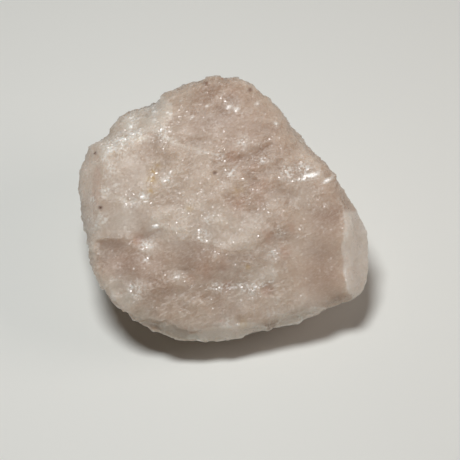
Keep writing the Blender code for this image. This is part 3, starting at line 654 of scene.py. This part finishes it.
def empty_breaking():
    """A group with an input for each size of the relief and for the stone's material."""
    tree = bpy.data.node_groups.new("broken_surface", "GeometryNodeTree")
    face = tree.interface
    face.new_socket("Geometry", in_out="INPUT", socket_type="NodeSocketGeometry")
    face.new_socket("Geometry", in_out="OUTPUT", socket_type="NodeSocketGeometry")
    for name in RELIEF:
        face.new_socket(name, in_out="INPUT", socket_type="NodeSocketFloat")
    face.new_socket("Stone", in_out="INPUT", socket_type="NodeSocketMaterial")
    return tree


def broken_surface():
    """Geometry Nodes that break a smooth skin up into ledges, scars, chips and grains."""
    tree = empty_breaking()
    node = partial(add, tree)
    given = node("NodeGroupInput").outputs
    place = node("GeometryNodeInputPosition")
    marks = {
        name: node("GeometryNodeInputNamedAttribute", {"Name": name}, data_type="FLOAT")
        for name in ("hackly", "rim", "smooth")
    }

    # The smooth panes are evened out first
    even_place = node(
        "GeometryNodeBlurAttribute",
        {"Value": place, "Iterations": EVENING_ROUNDS, "Weight": marks["smooth"]},
        data_type="FLOAT_VECTOR",
    )
    surface = node("GeometryNodeSetPosition", {"Geometry": given["Geometry"], "Position": even_place})

    # Places in mm in the face's frame, then turned along the ledges' climb
    millimetres = node("ShaderNodeVectorMath", {0: place, "Scale": 1.0 / MM}, operation="SCALE")
    from_centre = node("ShaderNodeVectorMath", {0: millimetres, 1: FACE_CENTRE}, operation="SUBTRACT")
    square = node(
        "ShaderNodeVectorRotate", {"Vector": from_centre, "Angle": -FACE_LEAN}, rotation_type="X_AXIS"
    )
    climb = node("ShaderNodeMath", {0: given["Ledge climb"]}, operation="RADIANS")
    back = node("ShaderNodeMath", {0: climb, 1: -1.0}, operation="MULTIPLY")
    along = node("ShaderNodeVectorRotate", {"Vector": square, "Angle": back}, rotation_type="Z_AXIS")

    # The smooth panes and the right end are broken less, and the base stays flat
    height = break_height(node, given, millimetres, along, marks)
    across = node("ShaderNodeSeparateXYZ", {0: square}).outputs["X"]
    level = node("ShaderNodeSeparateXYZ", {0: millimetres}).outputs["Z"]
    start, full = RIGHT_END_PLACES
    right_end = {"From Min": start, "From Max": full, "To Min": 1.0, "To Max": RIGHT_END_BREAKS}
    for limits in (
        {"Value": marks["smooth"], "To Min": 1.0, "To Max": SMOOTH_BREAKS},
        {"Value": across, **right_end},
        {"Value": level, "From Min": FLAT_UP_TO, "From Max": given["Base height"]},
    ):
        share = node("ShaderNodeMapRange", limits)
        height = node("ShaderNodeMath", {0: height, 1: share}, operation="MULTIPLY")
    normal = node("GeometryNodeInputNormal")
    metres = node("ShaderNodeMath", {0: height, 1: MM}, operation="MULTIPLY")
    push = node("ShaderNodeVectorMath", {0: normal, "Scale": metres}, operation="SCALE")
    surface = node("GeometryNodeSetPosition", {"Geometry": surface, "Offset": push})

    # How far each point stands out from its surroundings, near and wide
    for name, rounds in HEIGHTS.items():
        around = node(
            "GeometryNodeBlurAttribute", {"Value": place, "Iterations": rounds},
            data_type="FLOAT_VECTOR",
        )
        apart = node("ShaderNodeVectorMath", {0: place, 1: around}, operation="SUBTRACT")
        out = node("ShaderNodeVectorMath", {0: apart, 1: normal}, operation="DOT_PRODUCT")
        standing = node("ShaderNodeMath", {0: out, 1: MM}, operation="DIVIDE")
        surface = node(
            "GeometryNodeStoreNamedAttribute", {"Geometry": surface, "Name": name, "Value": standing},
            data_type="FLOAT", domain="POINT",
        )

    real = node("GeometryNodeRealizeInstances", {"Geometry": surface})
    finished = node("GeometryNodeSetMaterial", {"Geometry": real, "Material": given["Stone"]})
    node("NodeGroupOutput", {0: finished})
    return tree


def rough_stone():
    """The whole stone: its skin, its ledges and pits, its marks and its small breaks."""
    stone = even_skin("calcite_stone")
    lower_ledges_and_pits(stone.data)
    mark_places(stone.data)
    tree = broken_surface()
    breaking = stone.modifiers.new("broken_surface", "NODES")
    breaking.node_group = tree
    sockets = {
        item.name: item.identifier
        for item in tree.interface.items_tree
        if item.in_out == "INPUT"
    }
    for name, value in RELIEF.items():
        breaking[sockets[name]] = value
    breaking[sockets["Stone"]] = rough_calcite()
    settle(stone)
    # No grain of the base goes through the table
    resting = read(stone.data.vertices, "co", 3)
    resting[:, 2] = np.maximum(resting[:, 2], 0.0)
    stone.data.vertices.foreach_set("co", resting.ravel())
    stone.data.shade_flat()
    return stone


# The materials


def cloudy(node, places, size, detail, start, full, low=0.0, high=1.0):
    """Cloudy patches about size mm wide: low where the noise is under start, high from full on."""
    thick = node("ShaderNodeTexNoise", {"Vector": places, "Scale": 1.0 / size, "Detail": detail})
    limits = {"From Min": start, "From Max": full, "To Min": low, "To Max": high}
    return node("ShaderNodeMapRange", {"Value": thick, **limits})


def cells(node, places, size):
    """Where each cell is, of cells about size mm wide, and the way it leans: its random colour less
    the middle one."""
    found = node("ShaderNodeTexVoronoi", {"Vector": places, "Scale": 1.0 / size}).outputs
    lean = node("ShaderNodeVectorMath", {0: found["Color"], 1: (0.5, 0.5, 0.5)}, operation="SUBTRACT")
    return found["Position"], lean


def tilted(node, way, lean, tilt):
    """A way with a share of a lean added to it."""
    aside = node("ShaderNodeVectorMath", {0: lean, "Scale": tilt}, operation="SCALE")
    return node("ShaderNodeVectorMath", {0: way, 1: aside}, operation="ADD")


def calcite_colour(node, millimetres, marks, glassy_and_glint):
    """The colour of the body, laid over layer by layer."""
    square = node(
        "ShaderNodeVectorRotate", {"Vector": millimetres, "Angle": -FACE_LEAN}, rotation_type="X_AXIS"
    )
    along = node(
        "ShaderNodeVectorRotate", {"Vector": square, "Angle": -STREAK_TURN}, rotation_type="Z_AXIS"
    )
    streaked = node("ShaderNodeVectorMath", {0: along, 1: STREAK_STRETCH}, operation="MULTIPLY")

    # The body is pale to deep in wide clouds and in the deep patches. Some of those patches are painted
    # shade: in the hollow under the left ledge, in a pit and on the thin chip at the bottom left.
    clouds = cloudy(node, millimetres, CLOUD, 1.0, 0.38, 0.62, 0.10, 0.50)
    body = node("ShaderNodeMath", {0: marks["deep_and_shaded"], 1: 0.6, 2: clouds}, operation="MULTIPLY_ADD")

    # Veils of milk run along the ledges, thinly on the smooth panes. The milky marks lie over them, and
    # on the bottom edge they are painted light.
    veils = cloudy(node, streaked, VEIL, 3.0, 0.42, 0.70)
    thin = node("ShaderNodeMapRange", {"Value": marks["smooth"], "To Min": 0.14, "To Max": 0.03})
    veils = node("ShaderNodeMath", {0: veils, 1: thin}, operation="MULTIPLY")
    milk_and_light = node("ShaderNodeMath", {0: marks["milky_and_lit"], 1: 0.8}, operation="MULTIPLY")
    milk_and_light = node("ShaderNodeMath", {0: veils, 1: milk_and_light}, operation="MAXIMUM")

    # The mineral is crushed to frosty grit in places, and thinly along the ridges
    crushed = cloudy(node, millimetres, CRUSHED_GRIT, 3.0, 0.44, 0.58)
    frost = node("ShaderNodeMath", {0: marks["frosted"], 1: crushed}, operation="MULTIPLY")
    ridges = node(
        "ShaderNodeMapRange",
        {"Value": marks["ridge"], "From Min": 0.03, "From Max": 0.10, "To Max": 0.10},
    )
    frost = node("ShaderNodeMath", {0: frost, 1: ridges}, operation="MAXIMUM")

    # Painted shade: the colour goes deeper in the hollows, where a point lies lower than its wide
    # surroundings
    hollow_shade = node("ShaderNodeMapRange", {"Value": marks["swell"], "From Min": -0.08, "From Max": -0.45})
    rusty = cloudy(node, millimetres, RUST, 3.0, 0.35, 0.60)
    rusty = node("ShaderNodeMath", {0: marks["stained"], 1: rusty}, operation="MULTIPLY")

    colour = linear(PALE_BODY)
    for above, strength, place in (
        (DEEP_BODY_AND_SHADE, 1.0, body),
        (MILK_AND_LIGHT, 1.0, milk_and_light),
        (ICE, 0.55, marks["pale_end"]),
        (MILK_AND_LIGHT, 0.10, cloudy(node, millimetres, MILK_SPOT, 3.0, 0.50, 0.72)),
        (MILK_AND_LIGHT, 0.23, cloudy(node, streaked, MILK_STREAK, 1.0, 0.50, 0.72)),
        # Grey, and painted shade on the thin chip at the bottom left
        (THIN_GREY_AND_SHADE, 0.55, marks["greyed_and_shaded"]),
        # Pink blushes, and painted shade in the hollow under the left ledge
        (BLUSH_AND_SHADE, 0.40, marks["blushed_and_shaded"]),
        # Painted shade in the hollows
        (DEEP_BODY_AND_SHADE, 0.15, hollow_shade),
        (FROST_AND_GLINT, 0.9, frost),
        # Painted highlight: the glassy slivers are painted white
        (FROST_AND_GLINT, 0.7, glassy_and_glint),
        (STAIN, 1.0, rusty),
        # Dark specks, and painted shade in the hollow under the left ledge
        (SPECK_AND_SHADE, 1.0, marks["specked_and_shaded"]),
    ):
        share = node("ShaderNodeMath", {0: place, 1: strength}, operation="MULTIPLY")
        colour = node(
            "ShaderNodeMix", {"Factor": share, 6: colour, 7: linear(above)}, data_type="RGBA"
        )
    return colour


def flake_coat(node, millimetres, facing, marks, glassy_and_glint):
    """The way the crystal flakes face, and how glassy each is."""
    middle, lean = cells(node, millimetres, FLAKE)
    way = tilted(node, facing, lean, FLAKE_TILT)

    # In the frosted places they face nearly the flashing way, and the slivers face it
    flashing = FACE_TO_WORLD @ FLASHING_WAY
    upward = tilted(node, flashing, lean, FROSTED_FLAKE_TILT)
    for share, other in ((marks["frosted"], upward), (glassy_and_glint, flashing)):
        way = node("ShaderNodeMix", {"Factor": share, 4: way, 5: other}, data_type="VECTOR")
    way = node("ShaderNodeVectorMath", {0: way}, operation="NORMALIZE")

    # Few of them are glassy, in clusters, and fewer on the smooth panes
    clusters = cloudy(node, millimetres, FLAKE_CLUSTER, 2.0, 0.50, 0.70)
    clusters = node("ShaderNodeMath", {0: clusters, 1: marks["frosted"]}, operation="MAXIMUM")
    rare = node("ShaderNodeMapRange", {"Value": clusters, "To Min": 0.80, "To Max": 0.10})
    chance = node("ShaderNodeTexWhiteNoise", {"Vector": middle}).outputs["Value"]
    gloss = node("ShaderNodeMapRange", {"Value": chance, "From Min": rare, "From Max": 1.0})
    fewer = node("ShaderNodeMapRange", {"Value": marks["smooth"], "To Min": 1.0, "To Max": 0.3})
    gloss = node("ShaderNodeMath", {0: gloss, 1: fewer}, operation="MULTIPLY")
    return way, node("ShaderNodeMath", {0: gloss, 1: glassy_and_glint}, operation="MAXIMUM")


def grain_facing(node, millimetres, facing, marks):
    """The way the body's own grains face. They tilt a little, and less on the smooth panes."""
    lean = cells(node, millimetres, GRAIN)[1]
    limits = {"To Min": GRAIN_TILT, "To Max": SMOOTH_GRAIN_TILT}
    tilt = node("ShaderNodeMapRange", {"Value": marks["smooth"], **limits})
    way = tilted(node, facing, lean, tilt)
    return node("ShaderNodeVectorMath", {0: way}, operation="NORMALIZE")


def rough_calcite():
    """Massive calcite, broken by hand: cloudy, so light goes a few mm into it, with white frost
    where the breaks are crushed and flat crystal flakes that flash when they face the light."""
    material = bpy.data.materials.new("rough calcite, hand broken")
    material.use_nodes = True
    tree = material.node_tree
    node = partial(add, tree)
    shader = tree.nodes["Principled BSDF"]
    place = node("ShaderNodeTexCoord").outputs["Object"]
    millimetres = node("ShaderNodeVectorMath", {0: place, "Scale": 1.0 / MM}, operation="SCALE")
    facing = node("ShaderNodeNewGeometry").outputs["Normal"]
    marks = {
        name: node("ShaderNodeAttribute", attribute_name=name).outputs["Fac"]
        for name in (*MARKS, "pale_end", "glassy_and_glint", *HEIGHTS)
    }

    # The slivers are broken up by cracks
    whole = cloudy(node, millimetres, CRACK, 2.0, 0.32, 0.42)
    glassy_and_glint = node("ShaderNodeMath", {0: marks["glassy_and_glint"], 1: whole}, operation="MULTIPLY")

    flake_way, gloss = flake_coat(node, millimetres, facing, marks, glassy_and_glint)
    fill(tree, shader, {
        "Base Color": calcite_colour(node, millimetres, marks, glassy_and_glint),
        "Normal": grain_facing(node, millimetres, facing, marks),
        "Roughness": cloudy(node, millimetres, DULL_PATCH, 3.0, 0.30, 0.70, 0.42, 0.60),
        "Coat Normal": flake_way,
        "Coat Weight": gloss,
    })
    shader.inputs["Coat Roughness"].default_value = 0.25
    shader.inputs["Coat IOR"].default_value = 1.55
    shader.inputs["IOR"].default_value = 1.50
    shader.inputs["Subsurface Weight"].default_value = 1.0
    shader.inputs["Subsurface Radius"].default_value = (1.0, 0.88, 0.78)
    shader.inputs["Subsurface Scale"].default_value = LIGHT_DEPTH * MM
    return material


def table_top():
    """Matt white laminate: an even, dull white on which the stone's shadow shows."""
    material = bpy.data.materials.new("matt white laminate")
    material.use_nodes = True
    shader = material.node_tree.nodes["Principled BSDF"]
    shader.inputs["Base Color"].default_value = linear(TABLE)
    shader.inputs["Roughness"].default_value = 0.7
    return material


# The studio


def table():
    """The plain table that the stone stands on."""
    shape = bmesh.new()
    bmesh.ops.create_grid(shape, x_segments=1, y_segments=1, size=TABLE_REACH)
    mesh = bpy.data.meshes.new("table")
    shape.to_mesh(mesh)
    shape.free()
    mesh.materials.append(table_top())
    top = bpy.data.objects.new("table", mesh)
    bpy.context.scene.collection.objects.link(top)


def lamp(name, place, width, length, watts, colour):
    """A soft lamp that points at the origin."""
    light = bpy.data.lights.new(name, "AREA")
    light.shape = "ELLIPSE"
    light.size = width
    light.size_y = length
    light.energy = watts
    light.color = colour
    obj = bpy.data.objects.new(name, light)
    obj.location = place
    obj.rotation_euler = (Vector() - Vector(place)).to_track_quat("-Z", "Y").to_euler()
    bpy.context.scene.collection.objects.link(obj)


def room_light():
    """A little warm light from all round."""
    world = bpy.data.worlds.new("studio")
    world.use_nodes = True
    background = world.node_tree.nodes["Background"]
    background.inputs["Color"].default_value = ROOM_LIGHT
    background.inputs["Strength"].default_value = ROOM_STRENGTH
    bpy.context.scene.world = world


def eye():
    """The camera, square onto the broad face. It sees VIEW_WIDTH there."""
    lens = bpy.data.cameras.new("camera")
    lens.sensor_width = SENSOR_WIDTH
    lens.lens = SENSOR_WIDTH * DISTANCE / VIEW_WIDTH
    lens.clip_start = NEAREST_SEEN
    camera = bpy.data.objects.new("camera", lens)
    stand = AIM + Vector((0.0, 0.0, DISTANCE))
    camera.location = (FACE_TO_WORLD @ stand + FACE_CENTRE) * MM
    camera.rotation_euler = (FACE_LEAN, 0.0, 0.0)
    bpy.context.scene.collection.objects.link(camera)
    bpy.context.scene.camera = camera


def studio():
    """The table, the light and the camera."""
    table()
    for settings in LAMPS:
        lamp(*settings)
    room_light()
    bpy.context.scene.view_settings.view_transform = "Standard"
    eye()


noise.seed_set(NOISE_SEED)
stone = rough_stone()
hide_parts("calcite_stone")
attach(stone, "root")
studio()
